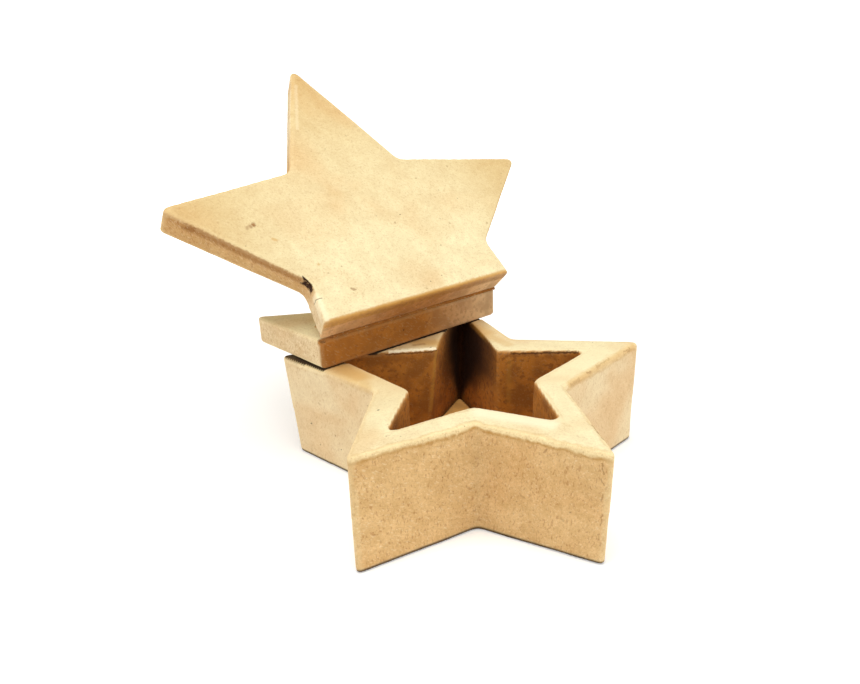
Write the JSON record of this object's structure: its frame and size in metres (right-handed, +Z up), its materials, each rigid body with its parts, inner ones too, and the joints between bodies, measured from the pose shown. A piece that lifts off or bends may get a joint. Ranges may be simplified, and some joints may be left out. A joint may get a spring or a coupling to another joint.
{
  "type": "star box",
  "caption": "Papier-mache star box with a thick wall, a star-shaped cavity and a star lid: one part rests on the rim, the other is a flap thrown back on a paper hinge.",
  "frame": {"origin": "centre of the box's star on the surface that it stands on", "axes": "+Z up, +Y towards the point of the box that lies under the lid at the back, +X to the right of the open cavity"},
  "size_m": [0.1437, 0.1389, 0.1142],
  "materials": {
    "papier_mache": "matte",
    "kraft_paper": "matte"
  },
  "bodies": {
    "box": {"box_wall": "papier_mache", "floor_board": "papier_mache", "lid_rest": "papier_mache", "strip_rest_leaf": "kraft_paper"},
    "flap": {"lid_flap": "papier_mache", "strip_flap_leaf": "kraft_paper"}
  },
  "joints": [
    {"name": "lid_hinge", "type": "hinge", "parent": "box", "child": "flap", "pos_m": [-0.01573, 0.02555, 0.0451], "axis": [0.809, 0.5878, 0], "range_deg": [-38, 138.5]}
  ]
}
